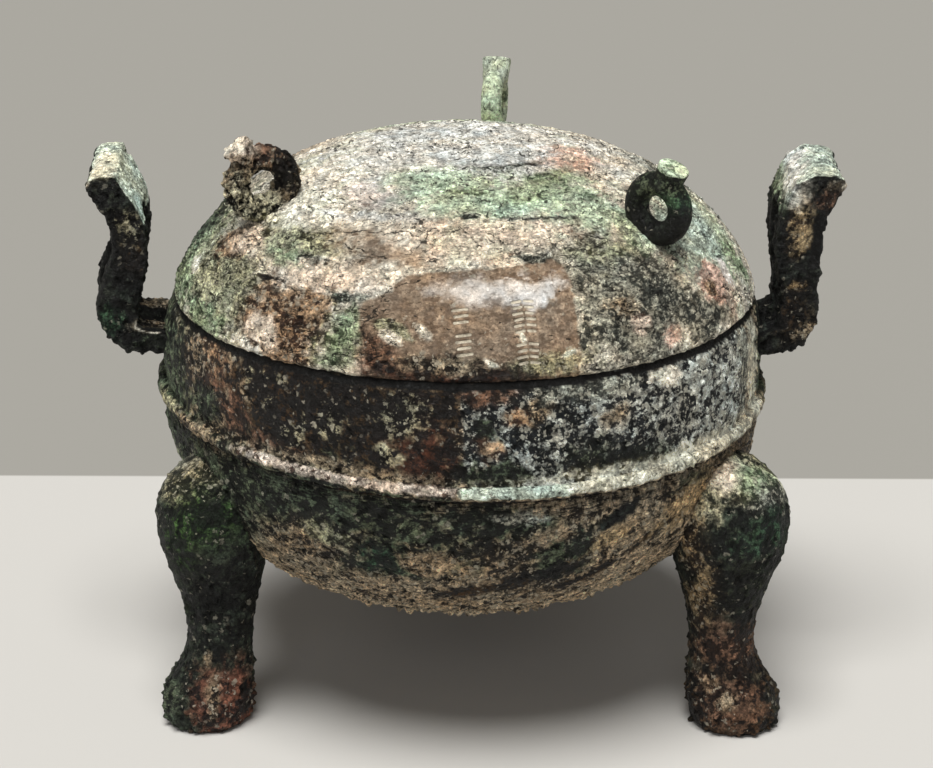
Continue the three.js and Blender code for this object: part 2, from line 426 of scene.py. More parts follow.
def turned(name, profile, columns, density):
    """A closed shell spun from a profile of (radius, height), then spread so that density, given
    per degree of azimuth, says where its columns crowd."""
    edges = [(i, i + 1) for i in range(len(profile) - 1)]
    piece = new_piece(name, [(r, 0, z) for r, z in profile], edges)
    mesh = bpy.ops.mesh
    reshape(
        lambda: mesh.spin(steps=columns, angle=2 * math.pi, center=(0, 0, 0), axis=(0, 0, 1)),
        lambda: mesh.remove_doubles(threshold=1e-3),
    )
    points, _ = read_points(piece)
    azimuth, radius = around(points)
    turn = np.radians(np.linspace(-180, 180, 3601))
    total = running_total(np.array([density(math.degrees(t)) for t in turn]))
    share = (azimuth + math.pi) / (2 * math.pi)
    azimuth = np.interp(share, total / total[-1], turn)
    points[:, 0], points[:, 1] = radius * np.cos(azimuth), radius * np.sin(azimuth)
    write_points(piece, points)
    return piece


def turned_places(piece, profile):
    """For each point of a turned piece: its place and normal, its azimuth in degrees, its distance
    from the axis, and the index of the profile point that it was spun from."""
    points, normals = read_points(piece)
    azimuth, radius = around(points)
    keys = {}
    for index, (r, z) in enumerate(profile):
        keys.setdefault((round(float(r), 2), round(float(z), 2)), index)
    flat = np.column_stack([radius, points[:, 2]])
    found = [keys.get((round(float(r), 2), round(float(z), 2)), -1) for r, z in flat]
    found = np.array(found)
    for lost in np.flatnonzero(found < 0):
        found[lost] = np.argmin(np.hypot(*(profile - flat[lost]).T))
    return points, normals, np.degrees(azimuth), radius, found


def rounded(corner_points, steps=10):
    """A smooth Catmull-Rom line through the given points."""
    p = np.array(corner_points, float)
    p = np.vstack([2 * p[0] - p[1], p, 2 * p[-1] - p[-2]])
    line = []
    for i in range(1, len(p) - 2):
        a, b, c, d = p[i - 1 : i + 3]
        for t in np.arange(steps) / steps:
            square = (2 * a - 5 * b + 4 * c - d) * t**2
            line.append(0.5 * (2 * b + (c - a) * t + square + (3 * b - a - 3 * c + d) * t**3))
    line.append(p[-2])
    return np.array(line)


def line_side(place, lines, reach=2.5):
    """For cracks drawn as lines of (azimuth, profile distance): each point's signed distance in mm
    from the nearest, and how surely it lies beside one."""
    side = np.full(len(place), 9.0)
    on = np.zeros(len(place))
    for (a0, s0), (a1, s1) in (ends for line in lines for ends in zip(line, line[1:])):
        u0 = np.radians((place[:, 0] - a0 + 180) % 360 - 180) * place[:, 2]
        v0 = place[:, 1] - s0
        du = math.radians(a1 - a0) * np.maximum(place[:, 2], 1)
        dv = s1 - s0
        length = np.hypot(du, dv)
        along = (u0 * du + v0 * dv) / length
        offset = (u0 * dv - v0 * du) / length
        sure = 1 - ease(np.maximum(-along, along - length), 0, 1.5)
        sure = sure * (1 - ease(abs(offset), reach * 0.6, reach))
        better = (sure > 0) & (abs(offset) < abs(side))
        side = np.where(better, offset, side)
        on = np.where(better, sure, on)
    return side, on


# ---- Material ----


def add(tree, kind, links=None, **settings):
    """Adds a node with its settings, and links or values for its inputs."""
    made = tree.nodes.new(kind)
    for key, value in settings.items():
        setattr(made, key, value)
    for socket, value in (links or {}).items():
        if isinstance(value, bpy.types.NodeSocket):
            tree.links.new(value, made.inputs[socket])
        else:
            made.inputs[socket].default_value = value
    return made


def patina():
    """Tin bronze corroded in the ground: dark copper oxides and green malachite under a pale,
    flaking lime crust. It looks dull and grainy, with crisp crust edges, specks and pits."""
    name = "corroded tin bronze"
    if name in bpy.data.materials:
        return bpy.data.materials[name]
    material = bpy.data.materials.new(name)
    material.use_nodes = True
    tree = material.node_tree
    tree.nodes.clear()

    def maths(operation, a, b=0.0, c=0.0):
        return add(tree, "ShaderNodeMath", {0: a, 1: b, 2: c}, operation=operation).outputs[0]

    def vectors(operation, a, b, c=(0.0, 0.0, 0.0)):
        return add(tree, "ShaderNodeVectorMath", {0: a, 1: b, 2: c}, operation=operation).outputs

    def scaled(colour, factor):
        links = {0: colour, "Scale": factor}
        return add(tree, "ShaderNodeVectorMath", links, operation="SCALE").outputs[0]

    def spread(value, low, high, to_low=0.0, to_high=1.0):
        """Value, with low to high spread over to_low to to_high, and held there beyond them."""
        links = {"Value": value, "From Min": low, "From Max": high}
        links |= {"To Min": to_low, "To Max": to_high}
        return add(tree, "ShaderNodeMapRange", links).outputs["Result"]

    def noise(vector, size_mm, detail, roughness):
        links = {"Vector": vector, "Scale": 1 / (size_mm * MM)}
        links |= {"Detail": detail, "Roughness": roughness}
        return add(tree, "ShaderNodeTexNoise", links).outputs

    def varied(value, low, high):
        """The middle of a noise's range, spread over low to high."""
        return spread(value, 0.3, 0.7, low, high)

    def over(a, b, soft):
        """1 where a is above b, 0 where it is below, and soft between."""
        return spread(maths("SUBTRACT", a, b), 0, soft)

    def blend(factor, a, b):
        links = {"Factor": factor, 6: a, 7: b}
        return add(tree, "ShaderNodeMix", links, data_type="RGBA").outputs[2]

    def attribute(name, output):
        return add(tree, "ShaderNodeAttribute", attribute_name=name).outputs[output]

    def parts(vector):
        return add(tree, "ShaderNodeSeparateXYZ", {0: vector}).outputs

    def cells(vector, size_mm, feature="F1"):
        links = {"Vector": vector, "Scale": 1 / (size_mm * MM)}
        return add(tree, "ShaderNodeTexVoronoi", links, feature=feature).outputs

    def chances(made):
        return add(tree, "ShaderNodeSeparateColor", {0: made["Color"]}).outputs

    def facets(vector, size_mm):
        """Flakes of one size: a fixed chance of each, and its height in mm, tilted its own way."""
        made = cells(vector, size_mm)
        lucks = chances(made)
        offset = vectors("SUBTRACT", vector, made["Position"])[0]
        slope = vectors("SUBTRACT", made["Color"], [0.5] * 3)[0]
        rise = vectors("DOT_PRODUCT", offset, slope)["Value"]
        step = maths("MULTIPLY", lucks[0], 0.12 * size_mm)
        return lucks[1], maths("MULTIPLY_ADD", rise, 1.5 / MM, step)

    place = add(tree, "ShaderNodeTexCoord").outputs["Object"]
    flow = attribute("flow", "Vector")
    ground = attribute("ground", "Color")
    crust = attribute("crust", "Color")
    cover, specks, pits = parts(attribute("cover_specks_pits", "Vector"))
    side, on, lift = parts(attribute("crack", "Vector"))
    relief = attribute("relief", "Fac")

    # Crust in ragged islands, some following the flow of the flakes.
    islands = noise(place, 3.1, 6, 0.7)["Fac"]
    drift = noise(flow, 8, 7, 0.68)["Fac"]
    field = maths("ADD", maths("MULTIPLY", islands, 1.5), maths("MULTIPLY", drift, 1.1))
    field = maths("ADD", field, maths("MULTIPLY", lift, 0.14))
    field = maths("SUBTRACT", field, 0.8)
    crusted = spread(maths("ADD", field, cover), 0.95, 1.05)

    # Broken crust: flakes 3.2 mm and grains 1.6 mm across, each tilted and of its own lightness.
    ragged = noise(place, 2.4, 4, 0.65)["Color"]
    bent = vectors("MULTIPLY_ADD", ragged, [5 * MM] * 3, place)[0]
    bent_flow = vectors("MULTIPLY_ADD", ragged, [6 * MM] * 3, flow)[0]
    less_bent_flow = vectors("MULTIPLY_ADD", ragged, [3 * MM] * 3, flow)[0]
    flake_luck, flake_height = facets(bent_flow, 3.2)
    grain_luck, grain_height = facets(bent, 1.6)
    mottle = noise(place, 2.6, 4, 0.7)["Fac"]
    grit = noise(place, 1.2, 2, 0.6)["Fac"]
    shade = maths("MULTIPLY", varied(mottle, 0.6, 1.4), spread(grit, 0.38, 0.62, 0.6, 1.4))
    shade = maths("MULTIPLY", shade, spread(grain_luck, 0, 1, 0.56, 1.44))
    shade = maths("MULTIPLY", shade, spread(flake_luck, 0, 1, 0.7, 1.3))
    # Darker in low places and lighter on raised ones, by their height: painted shade in the hollows
    # and painted light on the crests.
    shade = maths("MULTIPLY", shade, spread(lift, -0.7, 0.7, 0.6, 1.4))
    contrast = spread(relief, 0.1, 0.8, 0.35, 1)
    shade = maths("MULTIPLY_ADD", maths("SUBTRACT", shade, 1), contrast, 1)
    colour = scaled(blend(crusted, ground, crust), shade)

    # Pale specks of lime, 2.6 mm and 1.4 mm apart, ragged at their edges.
    speckled = []
    for size, share in ((2.6, 1.0), (1.4, 0.8)):
        speck = cells(bent, size)
        luck = chances(speck)
        wide = maths("ADD", spread(luck[1], 0, 1, 0.25, 0.68), varied(grit, -0.16, 0.16))
        there = over(maths("MULTIPLY", specks, share), luck[0], 0.04)
        speckled.append(maths("MULTIPLY", there, over(wide, speck["Distance"], 0.16)))
    speckled = maths("MAXIMUM", *speckled)
    lime = blend(0.5, crust, linear("#d3cdba") + [1])
    colour = blend(speckled, colour, scaled(lime, varied(mottle, 0.5, 1.3)))

    # Dark pits and dashes, and gaps between flakes, drawn out along the flow.
    pit = cells(bent_flow, 3.6)
    luck = chances(pit)
    wide = maths("ADD", spread(luck[1], 0, 1, 0.05, 0.34), varied(grit, -0.12, 0.12))
    pitted = maths("MULTIPLY", over(pits, luck[0], 0.04), over(wide, pit["Distance"], 0.08))
    rims = cells(less_bent_flow, 3.4, "DISTANCE_TO_EDGE")["Distance"]
    gaps = over(spread(mottle, 0.35, 0.6, 0.15, -0.02), rims, 0.05)
    gaps = maths("MULTIPLY", gaps, spread(maths("ADD", islands, pits), 0.7, 0.95))
    # Cracks run where the mesh says, broken here and there.
    wander = maths("ABSOLUTE", maths("ADD", side, varied(mottle, -0.7, 0.7)))
    cracked = over(spread(islands, 0.35, 0.65, -0.1, 0.75), wander, 0.2)
    cracked = maths("MULTIPLY", cracked, spread(on, 0.3, 0.6))
    dark = maths("MAXIMUM", maths("MAXIMUM", pitted, maths("MULTIPLY", gaps, 0.85)), cracked)
    dark_colour = list(bpy.context.scene.ding_colours.pit) + [1]
    colour = blend(maths("MULTIPLY", dark, 0.9), colour, dark_colour)
    # Strokes keep crisp edges, with pale lime left in them.
    cut = spread(attribute("cut", "Fac"), 0.42, 0.58)
    limed = maths("MULTIPLY", cut, spread(mottle, 0.3, 0.6, 0.4, 1))
    colour = blend(limed, colour, linear("#dfd5c0") + [1])

    # Relief finer than the mesh, in mm: crust, flakes and grains, mottling, specks and pits.
    height = maths("ADD", flake_height, maths("MULTIPLY", crusted, 0.3))
    height = maths("ADD", grain_height, height)
    for part, depth in ((mottle, 0.8), (grit, 0.5), (speckled, 0.35)):
        height = maths("MULTIPLY_ADD", part, depth, height)
    height = maths("MULTIPLY", height, spread(relief, 0, 1, 0.1, 1))
    for part, depth in ((dark, -0.6), (cut, -STROKE_DEPTH)):
        height = maths("MULTIPLY_ADD", part, depth, height)
    bump = add(tree, "ShaderNodeBump", {"Height": height, "Strength": 1.0, "Distance": MM})
    rough = maths("ADD", spread(crusted, 0, 1, 0.52, 0.8), varied(mottle, -0.08, 0.08))
    links = {"Base Color": colour, "Roughness": rough, "Normal": bump.outputs[0]}
    links["Specular IOR Level"] = 0.3
    shader = add(tree, "ShaderNodeBsdfPrincipled", links)
    add(tree, "ShaderNodeOutputMaterial", {"Surface": shader.outputs[0]})
    return material


# ---- Bowl ----


def belly_line(radius, bottom, top, steps):
    """The belly, from its underside up to the band: a squared-off quarter ellipse."""
    turn = np.linspace(0, math.pi / 2, steps + 1)
    drop = (top - bottom) * np.cos(turn) ** 0.86
    return list(zip(radius * np.sin(turn) ** 0.94, top - drop))


def bowl_profile():
    """The bowl's outline, from the middle of its underside up the outside, over the ledge and the
    lip and down the inside, with the number of points that lie outside."""
    s = sizes()
    belly_top = s.band_height - 6
    half, height = s.band_half, s.band_height
    ledge, lip = s.lid_base - 0.3, s.lid_radius - s.wall - 1.2
    outside = belly_line(s.bowl_radius, s.bowl_bottom, belly_top, 60)
    band = [(s.bowl_radius, -half - 0.4), (s.band_radius - 1.2, -0.9 * half)]
    band += [(s.band_radius - 0.2, -0.5 * half), (s.band_radius, 0)]
    outside += [(radius, height + up) for radius, up in band]
    outside += [(radius, height - up) for radius, up in band[-2::-1]]
    outside += [
        (s.bowl_radius + 0.3, 165),
        (s.bowl_radius - 0.9, 179),
        (s.bowl_radius - 2.1, 186),
        (s.lid_radius - 0.6, 188.6),
        (s.lid_radius - 1.6, ledge),
    ]
    top = [(lip, ledge), (lip - 0.1, s.lid_base + 6.5), (lip - 0.9, s.lid_base + 7)]
    inside = [(lip - s.wall, s.lid_base + 6.4), (lip - s.wall, ledge - 6)]
    inside += [(s.bowl_radius - s.wall, 170)]
    inside += belly_line(s.bowl_radius - s.wall, s.bowl_bottom + s.wall, belly_top, 40)[::-1]

    def outside_step(radius, height):
        if height > 95:
            return 1.05
        return 1.5 if radius > 90 else 2.6

    skin = respaced(outside, outside_step)
    rest = [outside[-1]] + top + inside
    rest = respaced(rest, lambda radius, height: 9 if height < 180 else 2.5)
    return np.vstack([skin, rest[1:]]), len(skin)


# Spots by azimuth and height.
BOWL_SPOTS = [
    # Round the back, broader and plainer.
    spot("moss", (50, 165), (90, 22), soft=0.6),
    spot("umber", (105, 172), (60, 16), soft=0.6),
    spot("slate", (80, 158), (40, 8), 6, 0.8),
    spot("moss", (75, 118), (120, 20), 4, 0.6),
    spot("tan", (120, 96), (70, 14), soft=0.6),
    # A tan strip along the band's upper part: partly painted light.
    spot("tan", (90, 146.8), (230, 2.6), soft=0.3),
    # From the left: green flank behind the left ear, then brown shoulder.
    spot("moss", (-172, 150), (60, 60), soft=0.4),
    spot("olive", (-166, 112), (16, 12)),
    spot("olive", (-158, 95), (14, 8), 20),
    spot("brown", (-146, 176), (20, 16)),
    spot("rust", (-146, 183), (10, 8), 20),
    spot("tan", (-151, 178), (8, 10), -30),
    spot("moss", (-146, 160), (12, 10)),
    spot("brown", (-137, 162), (7, 14)),
    spot("umber", (-114, 170), (60, 26), soft=0.2, square=True),
    spot("brown", (-137, 158), (9, 10)),
    spot("brown", (-128, 153), (22, 5)),
    spot("sienna", (-98, 161), (13, 20), soft=0.5),
    spot("umber", (-94, 181), (8, 8)),
    spot("flecks", (-128, 172), (4, 3), 40),
    spot("flecks", (-133, 182), (5, 2), 60),
    spot("flecks", (-127, 183), (6, 3), -10),
    spot("flecks", (-120, 165), (2, 6), -20),
    spot("flecks", (-114, 167), (5, 7)),
    spot("flecks", (-122, 160), (6, 4)),
    spot("flecks", (-101, 176), (9, 7), soft=0.5),
    spot("flecks", (-103, 160), (5, 4)),
    # Right of a clean edge the wall is blue-black, thick with pale specks.
    spot("blue", (-58, 170), (78, 24), soft=0.012, square=True),
    spot("moss", (-84, 154), (17, 6)),
    spot("moss", (-86, 172), (7, 6)),
    spot("rust", (-86, 164), (7, 4), -10),
    spot("tan", (-77, 179), (8, 5), 20),
    spot("rust", (-80, 177), (5, 4)),
    spot("brown", (-85, 186), (14, 4)),
    spot("tan", (-62, 172), (7, 4), soft=0.8),
    spot("moss", (-66, 156), (12, 7), soft=0.8),
    spot("moss", (-54, 155), (16, 5)),
    spot("slate", (-67, 186), (30, 5)),
    spot("speckle", (-38, 172), (34, 20), soft=0.8),
    spot("cream", (-50, 183), (10, 4.5), -12, 0.2),
    spot("slate", (-24, 172), (7, 24)),
    spot("straw", (-17, 168), (9, 26), soft=0.4),
    spot("moss", (-5, 165), (22, 26)),
    # Under the band: dark green to the left, tan crust to the right and round the bottom.
    spot("moss", (-122, 122), (100, 30), soft=0.3),
    spot("tan", (-122, 104), (32, 14), 10, 0.7),
    spot("olive", (-117, 116), (9, 6)),
    spot("emerald", (-104, 104), (20, 12)),
    spot("tan", (-97, 108), (14, 10)),
    spot("tan", (-100, 84), (60, 16), 5),
    spot("tan", (-58, 118), (58, 30), soft=0.35),
    spot("moss", (-82, 128), (20, 10)),
    spot("slate", (-80, 132), (12, 4)),
    spot("moss", (-70, 108), (16, 12), 35),
    spot("black", (-60, 128), (15, 5), 38, 0.2),
    spot("black", (-74, 98), (16, 5), 25, 0.2),
    spot("umber", (-50, 112), (20, 3.5), 36, 0.2),
    spot("umber", (-64, 92), (20, 3), 30, 0.2),
    spot("moss", (-42, 130), (14, 8)),
    spot("ochre", (-44, 120), (20, 10), 34, 0.6),
    spot("ochre", (-62, 112), (14, 5), 30, 0.6),
    spot("tan", (-75, 74), (70, 16)),
    spot("umber", (-86, 90), (24, 5), 12),
    # Crumbs of pale crust climb from the band on to the wall, and its underside is painted dark as
    # the band's shadow.
    spot("straw", (-50, 150.5), (56, 2.6), soft=0.9),
    spot("tan", (-116, 151), (44, 2.2), soft=0.9),
    spot("umber", (-100, 142.2), (130, 1.5), soft=0.3, square=True),
    # The band: olive at the left, rose, then mint and straw right of the same clean edge. Rose,
    # mint and straw keep to its upper part, a pale top that is partly painted light.
    spot("olive", (-163, 146), (22, 3.4), soft=0.2),
    spot("tan", (-150, 146), (18, 3.4), soft=0.2),
    spot("rose", (-113, 147.4), (50, 2.1), soft=0.2, square=True),
    spot("frost", (-79, 147), (29, 2.9), soft=0.03, square=True),
    spot("strip", (-46, 146.8), (62, 3.3), soft=0.1, square=True),
    # Round the top of the bowl under the lid's rim: near black, a painted shadow of the overhanging
    # lid.
    spot("dirt", (-100, 188.8), (100, 2.2), soft=0.2, square=True),
    spot("dirt", (-90, 189.6), (440, 2.2), soft=0.3, square=True),
]


class DING_OT_bowl(bpy.types.Operator):
    """Bowl with its raised band, mouth ledge and lip, hollow and crusted"""

    bl_idname = "ding.bowl"
    bl_label = "Bowl"

    def execute(self, context):
        s = sizes()
        profile, outside_count = bowl_profile()

        def density(azimuth):
            front = ease(abs(azimuth + 90), 78, 100)
            return 2.7 - 1.7 * front

        bowl = turned("bowl", profile, 480, density)
        points, normals, azimuth, radius, order = turned_places(bowl, profile)
        outside = order < outside_count
        skin = profile[:outside_count]
        # How far up the profile each point lies, counted so as to give the height on the wall.
        length = arc_lengths(profile)
        length += s.band_height - length[np.argmin(abs(skin[:, 1] - s.band_height))]
        level = length[order]
        place = np.column_stack([azimuth, level, np.maximum(radius, 40)])
        flow = np.column_stack([points[:, 0], points[:, 1], level * 1.6])
        # Under the band the crust runs in slanting streaks.
        under = 1 - ease(level, 130, 142)[:, None]
        slant = math.radians(35)
        along = 0.5 * (points[:, 0] * math.cos(slant) + level * math.sin(slant))
        across = 1.7 * (level * math.cos(slant) - points[:, 0] * math.sin(slant))
        flow += under * (np.column_stack([along, 0.5 * points[:, 1], across]) - flow)

        # The band sags a little towards the front right, as it was cast.
        sag = 4.6 * np.clip(np.cos(np.radians(azimuth + 60) * 1.25), 0, 1) ** 1.2
        sag = np.where(abs(azimuth + 60) < 72, sag, 0)
        points[:, 2] -= sag * (1 - ease(abs(points[:, 2] - s.band_height), 5, 32)) * outside

        # Nodules hang under the belly, and crust stands thick on the left flank.
        nodule, luck = bumps(points, 5.5, 71, 0.42)
        nodule = nodule * ease(luck, 0.35, 0.6)
        low = 1 - ease(points[:, 2], 60, 78)
        left = np.clip(1 - abs((azimuth - 178 + 180) % 360 - 180) / 26, 0, 1)
        left = left * (1 - ease(abs(points[:, 2] - 150), 22, 40))
        grit = 0.8 * bumps(points, 3.4, 73, 0.5)[0] * (1 - ease(points[:, 2], 70, 130))
        flank = left * (3.4 + 1.6 * wavy(points, 11, 72) + 1.0 * nodule)
        relief = outside * (3.4 * nodule * low + grit + flank)

        spots = []
        for finish, (turn, height), *rest in BOWL_SPOTS:
            height = float(np.interp(height, skin[:, 1], length[:outside_count]))
            spots.append((finish, (turn, height), *rest))
        # Inside, the bowl is plain dark green with tan crust towards the bottom.
        spots.append(spot("moss", (0, level.max() - 60), (2000, 90), soft=0.3))
        corrode(bowl, points, normals, place, flow, "tan", spots, 100, relief=relief)
        finish_piece(bowl, "vessel")
        return {"FINISHED"}


# ---- Legs ----

LEGS = {
    "leg_back": {"angle": 91, "reach": 142, "knee": 1.0},
    "leg_left": {"angle": 210, "reach": 138, "knee": 0.95},
    "leg_right": {"angle": 331, "reach": 144.5, "knee": 1.0},
}
# Height, shift outwards from the foot's middle, and half the section along and across the radius.
LEG_STATIONS = [
    (0.0, 0, 17.0, 16.6),
    (1.2, 0.1, 19.2, 18.8),
    (4, 0.2, 20.9, 20.5),
    (11, 0, 21.9, 21.4),
    (20, -2, 20.3, 19.6),
    (28, -5.5, 17.2, 16.8),
    (38, -7.5, 15.0, 14.8),
    (50, -7.7, 15.8, 15.4),
    (62, -7.7, 18.0, 17.6),
    (75, -7, 22.5, 21.5),
    (90, -6, 27.0, 26.0),
    (104, -6, 28.6, 27.5),
    (116, -7.5, 27.0, 26.0),
    (126, -11, 21.0, 20.5),
    (133, -17, 11.0, 11.0),
]
# Spots by x, y and z from the leg's middle at the floor, in the vessel's directions.
LEG_SPOTS = {
    "leg_left": [
        spot("ash", (-8, -14, 129), (26, 24, 11), soft=0.8),
        spot("sage", (-24, -16, 124), (7, 14, 8), soft=0.5),
        spot("sage", (-3, -18, 128), (16, 14, 7), soft=0.9),
        spot("sage", (-15, -20, 120), (9, 12, 6), soft=0.9),
        spot("grass", (1, -26, 110), (20, 14, 16), soft=0.8),
        spot("grass", (-12, -24, 100), (8, 12, 12), soft=0.8),
        spot("black", (8, -10, 80), (14, 20, 26), soft=0.8),
        spot("clay", (5, -16, 16), (15, 22, 18), soft=0.4),
        spot("tan", (-2, -20, 36), (2.5, 8, 3), soft=0.7),
        spot("tan", (1, -24, 22), (3, 8, 6), soft=0.9),
        spot("tan", (0, -24, 11), (2, 8, 3), soft=0.9),
        spot("moss", (-20, -6, 14), (6, 14, 12), soft=0.6),
    ],
    "leg_right": [
        spot("sage", (0, -14, 130), (27, 26, 10), soft=0.4),
        spot("peach", (-8, -20, 129), (12, 14, 6), soft=0.8),
        spot("leaf", (12, -10, 124), (9, 16, 5), soft=0.7),
        spot("slate", (16, -12, 117), (12, 16, 4), soft=0.8),
        spot("sage", (-18, -22, 114), (9, 12, 12), soft=0.5),
        spot("ochre", (-20, -22, 98), (8, 14, 18), soft=0.5),
        spot("emerald", (12, -18, 104), (14, 14, 8), soft=0.8),
        spot("ochre", (-13, -18, 70), (6, 14, 20), soft=0.7),
        spot("brown", (2, -14, 42), (18, 20, 14), soft=0.7),
        spot("umber", (0, -8, 12), (30, 30, 22)),
        spot("brown", (2, -20, 16), (14, 12, 12), soft=0.8),
        spot("tan", (0, -22, 18), (4, 9, 4), soft=0.9),
        spot("rust", (-10, -18, 26), (6, 8, 4), soft=0.6),
    ],
    "leg_back": [
        spot("slate", (0, 0, 128), (26, 26, 14), soft=0.6),
        spot("emerald", (6, 18, 108), (10, 12, 12), soft=0.7),
        spot("brown", (0, 6, 12), (26, 26, 14)),
    ],
}


class DING_OT_legs(bpy.types.Operator):
    """Three cast legs with hoof-like feet and swelling knees"""

    bl_idname = "ding.legs"
    bl_label = "Legs"

    def execute(self, context):
        for number, (name, shape) in enumerate(LEGS.items()):
            self.leg(name, shape, 200 + 40 * number)
        return {"FINISHED"}

    def leg(self, name, shape, seed):
        """Circles at each station, bridged and rounded, then turned to the leg's place."""
        sides = 24
        swell = 1.012  # subdivision draws the section in by this much
        loops, edges = [], []
        for ring, (z, shift, along, across) in enumerate(LEG_STATIONS):
            bulk = 1 + (shape["knee"] - 1) * float(ease(np.array(z), 50, 90))
            for i in range(sides):
                turn = 2 * math.pi * i / sides
                x = shape["reach"] + shift + swell * bulk * along * math.cos(turn)
                loops.append((x, swell * bulk * across * math.sin(turn), z))
                edges.append((ring * sides + i, ring * sides + (i + 1) % sides))
        leg = new_piece(name, loops, edges)

        def close_ends():
            bpy.ops.mesh.select_all(action="DESELECT")
            bpy.ops.mesh.select_mode(type="EDGE")
            bpy.ops.mesh.select_non_manifold()
            bpy.ops.mesh.edge_face_add()

        reshape(bpy.ops.mesh.bridge_edge_loops, close_ends)
        cap_ends(leg)
        apply_modifier(leg, "rounding", "SUBSURF", levels=3, render_levels=3)
        turn = math.radians(shape["angle"])
        leg.data.transform(Matrix.Rotation(turn, 4, "Z"))
        points, normals = read_points(leg)
        middle = (shape["reach"] - 5) * np.array([math.cos(turn), math.sin(turn), 0])
        # The foot is caked, and its sole is worn flat.
        cake, patchy = caked(points, 3.6, seed)
        height = points[:, 2]
        foot = 1 - ease(height, 22, 34)
        relief = (cake * (0.7 + 0.6 * patchy + 1.7 * foot) - 0.3) * ease(height, 0.0, 2.5)
        flow = points * np.array([1, 1, 0.8])
        spots = LEG_SPOTS[name]
        corrode(leg, points, normals, points - middle, flow, "night", spots, seed, relief=relief)
        rest_on_floor(leg)
        finish_piece(leg, "vessel")


def caked(points, size, seed):
    """Crumbs of crust size mm apart, and where they stand thickly."""
    bump, luck = bumps(points, size, seed + 1, 0.5)
    return bump * luck, ease(wavy(points, 12, seed + 2), -0.3, 0.5)


def cap_ends(piece):
    """Fills open ends with a fan of quads and triangles about their middle."""
    bm = bmesh.new()
    bm.from_mesh(piece.data)
    for face in [f for f in bm.faces if len(f.verts) > 4]:
        bmesh.ops.inset_individual(bm, faces=[face], thickness=4.0, use_even_offset=True)
        bmesh.ops.poke(bm, faces=[face])
    bm.to_mesh(piece.data)
    bm.free()


def rest_on_floor(piece):
    """No point lies under the floor."""
    points, _ = read_points(piece)
    points[:, 2] = np.maximum(points[:, 2], 0.0)
    write_points(piece, points)


# ---- Ears ----

# bulk and skew are those of the lower part and of the upper; sway is how far the flare takes the
# bar with it, and dip how much lower the near bar ends.
EARS = {
    "ear_right": {
        "angle": 0, "elbow": 154.5, "neck": 153.5, "flare": 20, "bulk": (0.94, 1.3),
        "skew": (0.02, 0.0), "sway": 0.66, "dip": 1.5,
    },
    "ear_left": {
        "angle": 180, "elbow": 163.3, "neck": 156.6, "flare": 18.4, "bulk": (1.0, 1.0),
        "skew": (0.12, 0.05), "sway": 1.0, "dip": 3.5,
    },
}
# Spots by distance from the vessel's axis outwards, across towards the back, and height, each face
# counted 8 mm further out than it is, so that a spot can keep to one face.
EAR_SPOTS = {
    "ear_left": [
        # Frost on the top faces and on the upper inner face, which tilts up at the flare: partly
        # painted light where these faces catch the light from above.
        spot("frost", (163, 0, 265), (24, 29, 12.5), soft=0.04, square=True),
        spot("frost", (143, 0, 246), (12, 29, 18), soft=0.04, square=True),
        spot("straw", (172, -12, 258), (10, 18, 9), soft=0.7),
        spot("cream", (170, -24, 250), (14, 6, 3), soft=0.4),
        spot("umber", (154, -33, 214), (9, 8, 10), soft=0.6),
        spot("flecks", (157, -33, 228), (8, 8, 8), soft=0.8),
        spot("emerald", (168, -33, 178), (10, 10, 9)),
        spot("cream", (149, -33, 178), (7, 8, 2), -14, 0.5),
        spot("moss", (144, -33, 170), (8, 8, 6)),
        spot("tan", (144, 10, 186), (9, 26, 6)),
    ],
    "ear_right": [
        # Frost on the top faces and pale on the upper inner face at the flare: partly painted light
        # where these faces catch the light from above.
        spot("frost", (166, 0, 266), (36, 29, 13), soft=0.04, square=True),
        spot("pale", (144, 0, 250), (16, 29, 11), soft=0.6),
        spot("leaf", (136, 0, 240), (8, 29, 8), soft=0.9),
        spot("cream", (176, -24, 248), (10, 14, 6), soft=0.6),
        spot("ochre", (152, -33, 227), (6.5, 9, 14), -6, 0.4),
        spot("cream", (150, -33, 242), (5, 9, 5), soft=0.6),
        spot("brown", (166, -33, 240), (6, 9, 6), soft=0.6),
        # Near black on the front face: painted shade.
        spot("dirt", (163, -33, 222), (5, 9, 13)),
        spot("ochre", (155, -33, 197), (4, 9, 3.5), soft=0.4),
        spot("umber", (153, -33, 182), (12, 9, 10), soft=0.8),
        spot("tan", (161, -33, 174), (8, 9, 5), soft=0.6),
        # Black on the inner face below the flare: painted shade.
        spot("black", (132, 0, 212), (9, 29, 26), soft=0.3, square=True),
    ],
}


